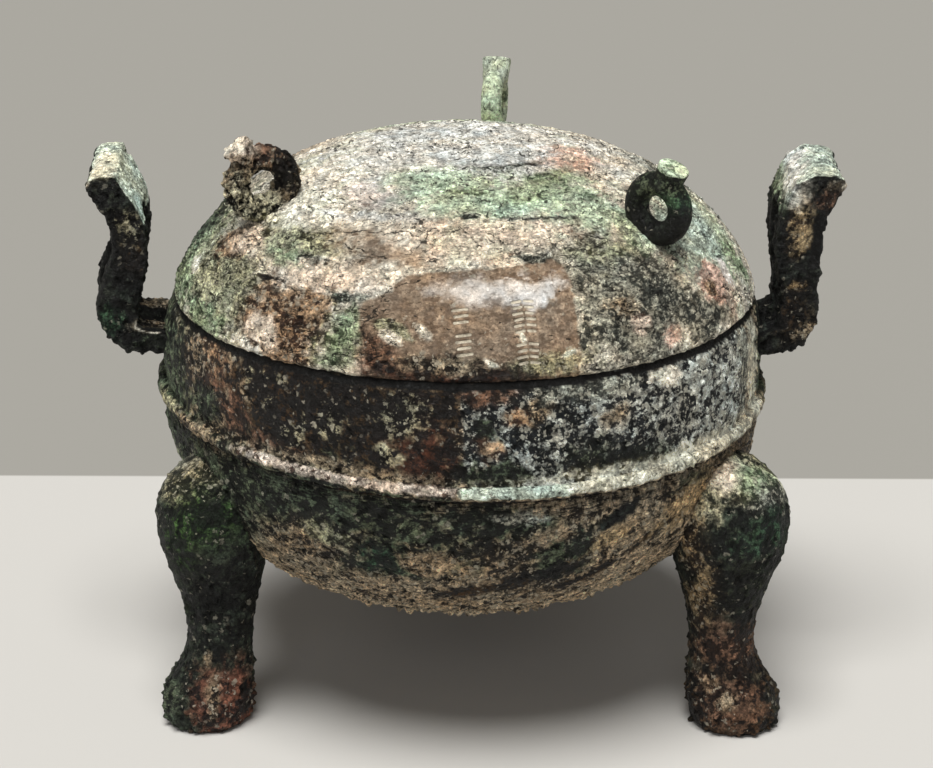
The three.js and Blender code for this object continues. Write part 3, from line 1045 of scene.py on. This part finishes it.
class DING_OT_ears(bpy.types.Operator):
    """Two upright slotted ears that turn out, up and out again"""

    bl_idname = "ding.ears"
    bl_label = "Ears"

    def execute(self, context):
        for number, (name, shape) in enumerate(EARS.items()):
            self.ear(name, shape, 400 + 40 * number)
        return {"FINISHED"}

    def outline(self, shape):
        """Side view of an ear as (distance from the axis, height) all round its bar."""
        elbow, neck, flare = shape["elbow"], shape["neck"], shape["flare"]
        sway = shape["sway"] * flare
        # Distance from the axis, height and thickness along the middle of the bar.
        path = rounded(
            [
                (131, 169.6, 11), (elbow - 13, 170.3, 12), (elbow - 3.5, 174.5, 15),
                (elbow, 184, 19), (0.6 * elbow + 0.4 * neck, 196, 18.5), (neck, 212, 16.4),
                (neck + 0.08 * sway, 228, 16.2), (neck + 0.34 * sway, 238.5, 16),
                (neck + 0.52 * sway, 244.5, 15.5),
            ],
            4,
        )
        ahead = np.gradient(path[:, :2], axis=0)
        ahead /= np.linalg.norm(ahead, axis=1)[:, None]
        low, high = shape["bulk"]
        width = path[:, 2] * (low + (high - low) * ease(path[:, 1], 194, 216))
        across = np.column_stack([ahead[:, 1], -ahead[:, 0]]) * (width[:, None] / 2)
        tip = neck + flare
        crown = [(tip, 247), (tip - 1.2, 250.6), (tip - 5, 252.8), (tip - 14, 253)]
        return np.vstack([path[:, :2] + across, crown, (path[:, :2] - across)[::-1]])

    def ear(self, name, shape, seed):
        """The outline as one face, extruded across, slotted, bevelled and remeshed fine."""
        half = sizes().ear_width / 2
        outline = self.outline(shape)
        face = list(range(len(outline)))
        ear = new_piece(name, [(x, -half, z) for x, z in outline], [], [face])
        through = {"value": (0, 2 * half, 0)}
        reshape(lambda: bpy.ops.mesh.extrude_region_move(TRANSFORM_OT_translate=through))
        deselect()
        bpy.ops.mesh.primitive_cube_add(size=1, location=(150, 0, 190.5), scale=(60, 19, 81))
        slot = bpy.context.object
        bpy.ops.object.transform_apply(location=True, rotation=False, scale=True)
        apply_modifier(slot, "corners", "BEVEL", width=3, segments=3)
        apply_modifier(ear, "slot", "BOOLEAN", operation="DIFFERENCE", object=slot, solver="EXACT")
        bpy.data.objects.remove(slot)
        apply_modifier(ear, "grid", "REMESH", mode="VOXEL", voxel_size=0.9)
        apply_modifier(ear, "wear", "SMOOTH", factor=0.5, iterations=7)
        # Spots are laid, and the far bar is skewed, with the viewer's side at low y on both ears.
        side = -1 if shape["angle"] == 180 else 1
        points, normals = read_points(ear)
        place = (points + 8 * normals) * np.array([1, side, 1])
        low, high = shape["skew"]
        lean = low + (high - low) * ease(points[:, 2], 190, 245)
        points[:, 0] += lean * (side * points[:, 1] + half) - half * abs(low)
        near = ease(-side * points[:, 1], -half, half)
        points[:, 2] -= shape["dip"] * near * ease(points[:, 2], 228, 248)
        write_points(ear, points)
        ear.data.transform(Matrix.Rotation(math.radians(shape["angle"]), 4, "Z"))
        points, normals = read_points(ear)
        # Crust cakes the bars in places, and most of all at the foot.
        cake, patchy = caked(points, 3.8, seed)
        foot = 1 - ease(points[:, 2], 172, 186)
        relief = cake * (0.4 + 1.1 * patchy + 1.2 * foot) - 0.2
        spots = EAR_SPOTS[name]
        corrode(ear, points, normals, place, points, "black", spots, seed, relief=relief)
        finish_piece(ear, "vessel")


# ---- Lid ----


def dome_height(share):
    """How high the dome is, from 1 at its top to 0 at its rim, at a share of its radius."""
    return (1 - share**2.67) ** (1 / 1.49)


def dome_line(radius, base, rise, steps):
    """The dome's outline from its top to its rim."""
    share = np.sin(np.linspace(0, math.pi / 2, steps + 1)) ** 1.2
    return list(zip(radius * share, base + rise * dome_height(share)))


# Spots by azimuth and by distance up the dome from its rim, in mm.
LID_SPOTS = [
    spot("pale", (-90, 140), (300, 45), soft=0.35),
    # Round the back, broader and plainer.
    spot("peach", (120, 60), (70, 22), 4, 0.8),
    spot("leaf", (60, 38), (50, 14), -6, 0.8),
    spot("mint", (95, 92), (44, 14), 5, 0.8),
    spot("ash", (85, 14), (90, 12), soft=0.8),
    spot("olive", (140, 26), (40, 14), soft=0.8),
    spot("rust", (104, 18), (18, 8), soft=0.6),
    # Left flank and shoulder.
    spot("leaf", (-175, 15), (34, 34), soft=0.5),
    spot("moss", (172, 20), (40, 40), soft=0.5),
    spot("olive", (-152, 17), (36, 26), soft=0.4),
    spot("olive", (-150, 24), (20, 12), soft=0.9),
    spot("leaf", (-168, 10), (18, 12), soft=0.4),
    spot("cream", (-164, 21), (6, 4.5)),
    spot("leaf", (-152, 6), (22, 6)),
    spot("rust", (-154, 39), (13, 7), 8),
    spot("peach", (-148, 46), (15, 7), 8, 0.5),
    spot("straw", (-145, 66), (22, 14), soft=0.5),
    spot("cream", (-126, 71), (44, 9), 7, 0.5),
    spot("pale", (-121, 75), (26, 3.5), 7, 0.4),
    spot("olive", (-134, 52), (24, 9), soft=0.5),
    spot("leaf", (-134, 44), (9, 6)),
    spot("slate", (-127, 46), (9, 3)),
    spot("peach", (-122, 38), (30, 8), soft=0.5),
    spot("rust", (-134, 27), (8, 5), soft=0.6),
    spot("umber", (-136, 33), (8, 1.4), 6),
    spot("rust", (-128, 13), (24, 17)),
    spot("peach", (-132, 8), (9, 6)),
    spot("rust", (-122, 25), (12, 7)),
    spot("slate", (-112, 31), (12, 2.6), -4),
    spot("leaf", (-115, 13), (10, 11), soft=0.6),
    # Across the front and the top.
    spot("mauve", (-111, 57), (24, 9), soft=0.6),
    spot("pink", (-125, 91), (16, 8), -6),
    spot("mint", (-98, 104), (24, 17), soft=0.6),
    spot("mint", (-72, 92), (38, 16), 4, 0.4),
    spot("mint", (-52, 78), (22, 14), soft=0.4),
    spot("leaf", (-66, 90), (13, 5), -8, 0.9),
    spot("leaf", (-86, 101), (10, 3), soft=0.9),
    spot("leaf", (-50, 101), (16, 8), soft=0.9),
    spot("slate", (-59, 122), (17, 2.5), -8),
    spot("salmon", (-19, 110), (17, 13), soft=0.6),
    spot("rose", (-16, 112), (5, 5), soft=0.6),
    spot("peach", (-82, 66), (36, 13), soft=0.3),
    spot("slate", (-67, 76.5), (18, 1.2), -8),
    spot("slate", (-88, 81), (4, 1.6)),
    spot("slate", (-74, 54), (8, 2), -10),
    # Right shoulder and flank.
    spot("leaf", (-42, 62), (9, 9), soft=0.6),
    spot("ash", (-56, 42), (26, 18), soft=0.7),
    spot("olive", (-52, 52), (18, 8), soft=0.8),
    spot("ash", (-56, 18), (32, 22), soft=0.4),
    spot("ash", (-46, 24), (22, 18), soft=0.6),
    spot("ash", (-46, 28), (22, 14), soft=0.8),
    spot("tan", (-57, 24), (8, 5), soft=0.6),
    spot("rose", (-54, 15), (5, 4)),
    spot("salmon", (-47, 7), (6, 4.5)),
    spot("ash", (-36, 10), (22, 10)),
    spot("mint", (-38, 54), (16, 9), soft=0.8),
    spot("mint", (-16, 46), (34, 26), soft=0.5),
    spot("frost", (-20, 50), (28, 19), soft=0.5),
    spot("leaf", (-11, 19), (13, 14), soft=0.4),
    spot("salmon", (-27, 22), (13, 9), -14, 0.2),
    spot("pink", (-21, 20), (4, 8), -12, 0.3),
    spot("rust", (-30, 22), (4, 4), -12),
    spot("rose", (-24, 10), (5, 8), -12),
    spot("slate", (12, 40), (14, 36), soft=0.5),
    # The smooth tablet that bears the strokes, browner below and paler at its upper right, partly
    # its own pale lilac and partly a painted sheen.
    spot("mauve", (-85, 20), (38, 30), 6, 0.02, True),
    spot("mauve", (-101, 18), (20, 20), 22, 0.04, True),
    spot("silver", (-77, 39.5), (14, 6.5), 4, 0.35),
    spot("silver", (-86, 38), (15, 6), soft=0.8),
    spot("brown", (-107, 8), (7, 9), 20, 0.6),
    spot("sienna", (-90, 2), (42, 6), soft=0.6),
    spot("tan", (-94, 7), (18, 4), soft=0.7),
    spot("olive", (-104, 20), (8, 3), -10, 0.3),
    spot("cream", (-104, 17), (6, 2.5), -20, 0.3),
    spot("cream", (-98, 21), (5, 2), -30, 0.3),
    spot("olive", (-74, 6), (14, 4), soft=0.9),
    spot("cream", (-85, 7), (4, 1.4), -35, 0.3),
    spot("cream", (-79, 18), (1.4, 3), 20, 0.3),
    spot("cream", (-70, 9), (4, 1.2), 15, 0.3),
]
# Cracks in the crust, as lines of (azimuth, distance up from the rim).
LID_CRACKS = [
    [(-139, 54), (-134, 57), (-130, 60), (-125, 63)],
    [(-125, 63), (-120, 66), (-113, 68), (-108, 69), (-102, 66)],
    [(-102, 66), (-98, 66), (-93, 71), (-91, 74), (-89, 70), (-86, 63)],
    [(-139, 52), (-136, 54), (-133, 55), (-130, 53), (-128, 51)],
    [(-128, 56), (-125, 58), (-122, 58), (-118, 56)],
    [(-117, 57), (-113, 55), (-109, 54)],
    [(-153, 45), (-150, 48), (-146, 50)],
    [(-144, 39), (-141, 38), (-138, 36)],
    [(-139, 33), (-136, 35), (-133, 34), (-130, 31)],
    [(-130, 31), (-127, 30), (-123, 30)],
    [(-118, 30), (-114, 28), (-110, 29), (-107.5, 30)],
    [(-107.5, 30), (-107, 36), (-104, 40), (-100, 44)],
    [(-108.5, 27), (-110, 21), (-109, 15), (-106, 10)],
    [(-142, 72), (-136, 73), (-130, 71)],
    [(-151, 80), (-145, 83), (-140, 81)],
    [(-158, 84), (-154, 88), (-149, 92)],
    [(-130, 108), (-124, 112), (-117, 116)],
    [(-84, 70), (-81, 66), (-79, 61), (-76, 56), (-72, 54), (-68, 53)],
    [(-76, 79), (-70, 77), (-64, 75), (-58, 74)],
    [(-62, 66), (-57, 63), (-52, 60)],
    [(-64, 58), (-58, 54), (-53, 49), (-47, 46)],
    [(-64, 43), (-61, 39), (-59, 35)],
    [(-64, 18), (-62, 13), (-59, 9), (-57, 3)],
    [(-52, 40), (-46, 42), (-41, 38), (-38, 36)],
    [(-36, 44), (-33, 40), (-31, 35)],
    [(-28, 92), (-26, 98), (-23, 101)],
    [(-59, 108), (-56, 111), (-53, 116)],
    [(-105, 139), (-96, 141), (-88, 140)],
    [(-124, 150), (-100, 152), (-70, 150)],
    [(170, 118), (-170, 122), (-150, 121)],
    [(-160, 40), (-155, 45)],
]


class DING_OT_lid(bpy.types.Operator):
    """Domed lid, hollow, with its cracked crust and a smooth tablet of shallow strokes"""

    bl_idname = "ding.lid"
    bl_label = "Lid"

    def execute(self, context):
        s = sizes()
        outer = dome_line(s.lid_radius, s.lid_base, s.lid_rise, 200)
        # The rim is rounded under, which leaves a dark gap over the bowl.
        outer[-1] = (s.lid_radius, s.lid_base + 1.4)
        outer = [p for p in outer[:-1] if p[1] > s.lid_base + 1.6] + [outer[-1]]
        rim = [
            (s.lid_radius - 0.5, s.lid_base + 0.4),
            (s.lid_radius - 1.4, s.lid_base),
            (s.lid_radius - s.wall, s.lid_base),
        ]
        inner = dome_line(s.lid_radius - s.wall, s.lid_base, s.lid_rise - s.wall, 100)[::-1]
        skin = respaced(outer, lambda radius, height: 0.6 if radius > 105 else 1.25)
        rest = [outer[-1]] + rim + inner[1:]
        rest = respaced(rest, lambda radius, height: 1.2 if height < 192 else 11)
        profile = np.vstack([skin, rest[1:]])

        def density(azimuth):
            front = 1 - ease(abs(azimuth + 90), 80, 100)
            tablet = 1 - ease(abs(azimuth + 83), 14, 20)
            return 1 + 1.7 * front + 3.4 * tablet

        lid = turned("lid_dome", profile, 500, density)
        points, normals, azimuth, radius, order = turned_places(lid, profile)
        outside = order < len(skin)
        length = arc_lengths(profile)
        up = length[len(skin) - 1] - length[order]
        place = np.column_stack([azimuth, up, np.maximum(radius, 6)])
        flow = np.column_stack([points[:, 0], points[:, 1], up * 2.2])

        warped = place.copy()
        warped[:, 1] += 1.6 * wavy(points, 7, 311) + 0.7 * wavy(points, 2.5, 312)
        side, on = line_side(warped, LID_CRACKS)
        tablet = spot("mauve", (-85, 20), (40, 30), 6, 0.02, True)
        tablet = spot_share(tablet, place, [np.zeros(len(points))] * 2)
        bare = (1 - tablet) * outside
        # The crust breaks off in ledges that run round the dome, with finer cracks along them.
        field = wavy(flow, 24, 321, octaves=4, gain=0.6) * 2.8
        share = field - np.floor(field)
        edge = (share - 0.5) * 6
        broken = ease(wavy(points, 15, 322), -0.15, 0.15)
        nearer = (abs(edge) < abs(side)) & (broken > 0.05)
        side = np.where(nearer, edge, side)
        on = np.where(nearer, broken, on) * outside * (1 - tablet * nearer)
        ledges = (np.floor(field) + ease(share, 0.42, 0.58) - field) * 0.8 * bare
        lips = on * np.exp(-abs(side)) * np.sign(side) * 0.35 * bare
        relief = lips - TABLET_DEPTH * tablet * outside
        corrode(
            lid, points, normals, place, flow, "cream", LID_SPOTS, 300,
            relief=relief, ledges=ledges, crack=(side, on), cut=stroke_depth(place),
        )
        finish_piece(lid, "lid")
        return {"FINISHED"}


def stroke_depth(place):
    """Two columns of short shallow strokes, cast in the tablet; they spell nothing."""
    across = np.radians(place[:, 0] + 78) * place[:, 2]
    up = place[:, 1]
    depth = np.zeros(len(place))

    def cut(x0, y0, x1, y1, width=0.65):
        length = math.hypot(x1 - x0, y1 - y0)
        t = np.clip(((across - x0) * (x1 - x0) + (up - y0) * (y1 - y0)) / length**2, 0, 1)
        away = np.hypot(across - x0 - t * (x1 - x0), up - y0 - t * (y1 - y0))
        np.maximum(depth, 1 - away / (2 * width), out=depth)

    for row in range(10):
        y = 34 - row * 2.7 - 3 * (row > 5)
        cut(-4.6 + 0.4 * (row % 2), y - 0.6, -0.9, y)
        cut(0.9, y, 4.4 - 0.3 * (row % 3), y - 0.5)
    across = across + 27
    for row in range(7):
        y = 31 - row * 2.8 - 3 * (row > 2)
        cut(-3.4 + 0.4 * (row % 2), y - 0.8, 2.9 - 0.3 * (row % 3), y)
    return depth


# ---- Knobs ----

KNOBS = {
    "knob_back": {"angle": 81, "out": 88, "lean": 15, "ring": 10.9, "tube": 5.2, "sink": 0},
    "knob_left": {"angle": 205, "out": 94, "lean": 29, "ring": 12.0, "tube": 6.2, "sink": 0.8},
    "knob_right": {"angle": 323, "out": 103, "lean": 16, "ring": 11.3, "tube": 5.5, "sink": 0.6},
}
# Of each knob the finish of its ground, its spots, by distance outwards from the middle of the
# ring, across it and up, and how crusty it is.
KNOB_SPOTS = {
    "knob_back": (
        "mint",
        [spot("frost", (3, 0, 18), (12, 12, 12)), spot("leaf", (0, 0, 0), (8, 12, 7))],
        0.4,
    ),
    "knob_left": (
        "tan",
        [
            # Its near-black holes and very pale ridges are partly painted shade and painted light.
            spot("lace", (10, 0, -2), (14, 20, 14), soft=0.4),
            spot("umber", (-12, 0, 3), (9, 20, 9), soft=0.6),
            spot("brown", (-6, 0, 14), (10, 20, 6), soft=0.6),
            spot("tan", (-12, 0, -10), (9, 20, 6), soft=0.6),
            spot("olive", (8, 0, -15), (10, 20, 5), soft=0.6),
            spot("rose", (0, 0, 21), (9, 20, 5), soft=0.6),
            spot("cream", (6, 0, 25), (8, 20, 3.5), soft=0.4),
        ],
        2.2,
    ),
    "knob_right": (
        "black",
        [
            spot("moss", (-10, 0, 10), (11, 20, 8), soft=0.8),
            spot("moss", (2, 0, 15), (14, 20, 5), soft=0.6),
            spot("emerald", (11, 0, 8), (6, 20, 4), soft=0.9),
            spot("umber", (-7, 0, -14), (9, 20, 5), soft=0.9),
            spot("mint", (4, 0, 25), (20, 20, 5.5), soft=0.03, square=True),
        ],
        0.15,
    ),
}


class DING_OT_knobs(bpy.types.Operator):
    """Three ring knobs on the lid, each with a short stub"""

    bl_idname = "ding.knobs"
    bl_label = "Knobs"

    def execute(self, context):
        for number, (name, shape) in enumerate(KNOBS.items()):
            self.knob(name, shape, 600 + 40 * number)
        return {"FINISHED"}

    def knob(self, name, shape, seed):
        """A torus and a slightly leaning stub, joined and remeshed, then set on the dome."""
        s = sizes()
        deselect()
        bpy.ops.mesh.primitive_torus_add(
            major_radius=shape["ring"], minor_radius=shape["tube"],
            major_segments=64, minor_segments=28, rotation=(math.pi / 2, 0, 0),
        )
        knob = bpy.context.object
        knob.name = knob.data.name = name
        bpy.ops.object.transform_apply(location=True, rotation=True, scale=True)
        # The stub starts 1.5 mm under the top of the ring's middle line.
        start, tall = shape["ring"] - 1.5, 11.5
        bpy.ops.mesh.primitive_cone_add(
            vertices=48, radius1=6.2, radius2=7.2, depth=tall, location=(0, 0, start + tall / 2),
        )
        stub = bpy.context.object
        bpy.ops.object.transform_apply(location=True, rotation=True, scale=True)
        lean = Matrix.Rotation(math.radians(9), 4, "Y")
        foot = Matrix.Translation((0, 0, start))
        stub.data.transform(foot @ lean @ foot.inverted())
        activate(knob)
        stub.select_set(True)
        bpy.ops.object.join()
        apply_modifier(knob, "grid", "REMESH", mode="VOXEL", voxel_size=0.45)
        apply_modifier(knob, "wear", "SMOOTH", factor=0.5, iterations=3)
        place, _ = read_points(knob)
        height = s.lid_base + s.lid_rise * dome_height(shape["out"] / s.lid_radius)
        knob.data.transform(
            Matrix.Rotation(math.radians(shape["angle"]), 4, "Z")
            @ Matrix.Translation((shape["out"], 0, height))
            @ Matrix.Rotation(math.radians(shape["lean"]), 4, "Y")
            @ Matrix.Translation((0, 0, 13 - shape["sink"]))
        )
        points, normals = read_points(knob)
        ground, spots, crustiness = KNOB_SPOTS[name]
        bump, luck = bumps(points, 3.2, seed + 1, 0.55)
        hole, dice = bumps(points, 4.4, seed + 2, 0.42)
        crumbs = bump * luck - 0.3
        # Only a crusty knob is eaten into, and only its finish is rough.
        crusty = crustiness > 1
        eaten = hole * ease(dice, 0.3, 0.5) * crusty
        relief = crustiness * (0.8 * crumbs - 0.9 * eaten)
        rough, swell = (1.0, 0.9) if crusty else (0.6, 0.2)
        corrode(
            knob, points, normals, place, points, ground, spots, seed,
            relief=relief, rough=rough, swell=swell,
        )
        finish_piece(knob, "lid")


# ---- Stage ----


def stage_material(near, far):
    """Matt seamless paper, pale as far back as its edge and grey beyond."""
    material = bpy.data.materials.new("matt backdrop paper")
    material.use_nodes = True
    tree = material.node_tree
    shader = tree.nodes["Principled BSDF"]
    place = add(tree, "ShaderNodeTexCoord").outputs["Object"]
    back = add(tree, "ShaderNodeSeparateXYZ", {0: place}).outputs["Y"]
    links = {"Value": back, "From Min": BACKDROP_EDGE - MM, "From Max": BACKDROP_EDGE + MM}
    share = add(tree, "ShaderNodeMapRange", links).outputs["Result"]
    links = {"Factor": share, 6: list(near) + [1], 7: list(far) + [1]}
    tint = add(tree, "ShaderNodeMix", links, data_type="RGBA")
    tree.links.new(tint.outputs[2], shader.inputs["Base Color"])
    shader.inputs["Roughness"].default_value = 0.9
    return material


def area_light(name, place, target, size, power, colour):
    light = bpy.data.lights.new(name, "AREA")
    light.shape, light.size, light.size_y = "RECTANGLE", *size
    light.energy = power
    light.color = linear(colour)
    lamp = bpy.data.objects.new(name, light)
    lamp.location = place
    lamp.rotation_euler = (Vector(target) - Vector(place)).to_track_quat("-Z", "Y").to_euler()
    bpy.context.scene.collection.objects.link(lamp)


class DING_OT_stage(bpy.types.Operator):
    """Pale floor, soft light from above and the camera"""

    bl_idname = "ding.stage"
    bl_label = "Stage"

    def execute(self, context):
        scene = context.scene
        deselect()
        bpy.ops.mesh.primitive_plane_add(size=12, location=(0, 0, 0))
        floor = context.object
        floor.name = floor.data.name = "floor"
        colours = scene.ding_colours
        floor.data.materials.append(stage_material(colours.floor, colours.backdrop))

        # Broad light from overhead, a weak one from the front, and some from all round.
        sun = bpy.data.lights.new("key_light", "SUN")
        sun.energy = 3.6
        sun.angle = math.radians(32)
        sun.color = linear("#fffefa")
        lamp = bpy.data.objects.new("key_light", sun)
        lamp.location = (-0.2, -0.6, 2.0)
        lamp.rotation_euler = (-lamp.location).to_track_quat("-Z", "Y").to_euler()
        scene.collection.objects.link(lamp)
        area_light("front_light", (-0.2, -2.3, 1.2), (0, 0, 0.15), (1.4, 1.0), 6, "#fbfcff")
        world = bpy.data.worlds.new("studio")
        scene.world = world
        world.use_nodes = True
        background = world.node_tree.nodes["Background"]
        background.inputs["Color"].default_value = linear("#d6d3cd") + [1]
        background.inputs["Strength"].default_value = 0.24

        camera = bpy.data.cameras.new("camera")
        camera.sensor_width = 36
        camera.sensor_fit = "HORIZONTAL"
        # A long lens: 2.83 frame widths from lens to film. It looks down and is tipped a little.
        camera.lens = 101.86
        viewer = bpy.data.objects.new("camera", camera)
        down, roll = math.radians(20.17), math.radians(0.22)
        viewer.location = AXIS + Vector((0.001, -1.1794, 0.5743))
        tip = Matrix.Rotation(math.pi / 2 - down, 4, "X") @ Matrix.Rotation(roll, 4, "Z")
        viewer.rotation_euler = tip.to_euler()
        scene.collection.objects.link(viewer)
        scene.camera = viewer
        scene.view_settings.view_transform = "Standard"
        return {"FINISHED"}


# ---- Panel, registering and running ----


class DING_PT_panel(bpy.types.Panel):
    """Lists the ding's pieces"""

    bl_idname = "DING_PT_panel"
    bl_label = "Bronze Ding"
    bl_space_type = "VIEW_3D"
    bl_region_type = "UI"
    bl_category = "Ding"

    def draw(self, context):
        for group in (context.scene.ding_sizes, context.scene.ding_colours):
            for name in group.bl_rna.properties.keys():
                if name not in {"rna_type", "name"}:
                    self.layout.prop(group, name)
        for operator in OPERATORS:
            self.layout.operator(operator.bl_idname)


OPERATORS = (DING_OT_bowl, DING_OT_legs, DING_OT_ears, DING_OT_lid, DING_OT_knobs, DING_OT_stage)
CLASSES = (DingSizes, DingColours, *OPERATORS, DING_PT_panel)


def register():
    for cls in CLASSES:
        bpy.utils.register_class(cls)
    bpy.types.Scene.ding_sizes = PointerProperty(type=DingSizes)
    bpy.types.Scene.ding_colours = PointerProperty(type=DingColours)


def unregister():
    del bpy.types.Scene.ding_colours
    del bpy.types.Scene.ding_sizes
    for cls in reversed(CLASSES):
        bpy.utils.unregister_class(cls)


def main():
    register()
    bpy.ops.ding.bowl()
    bpy.ops.ding.legs()
    bpy.ops.ding.ears()
    bpy.ops.ding.lid()
    bpy.ops.ding.knobs()
    bpy.ops.ding.stage()


if __name__ == "__main__":
    main()
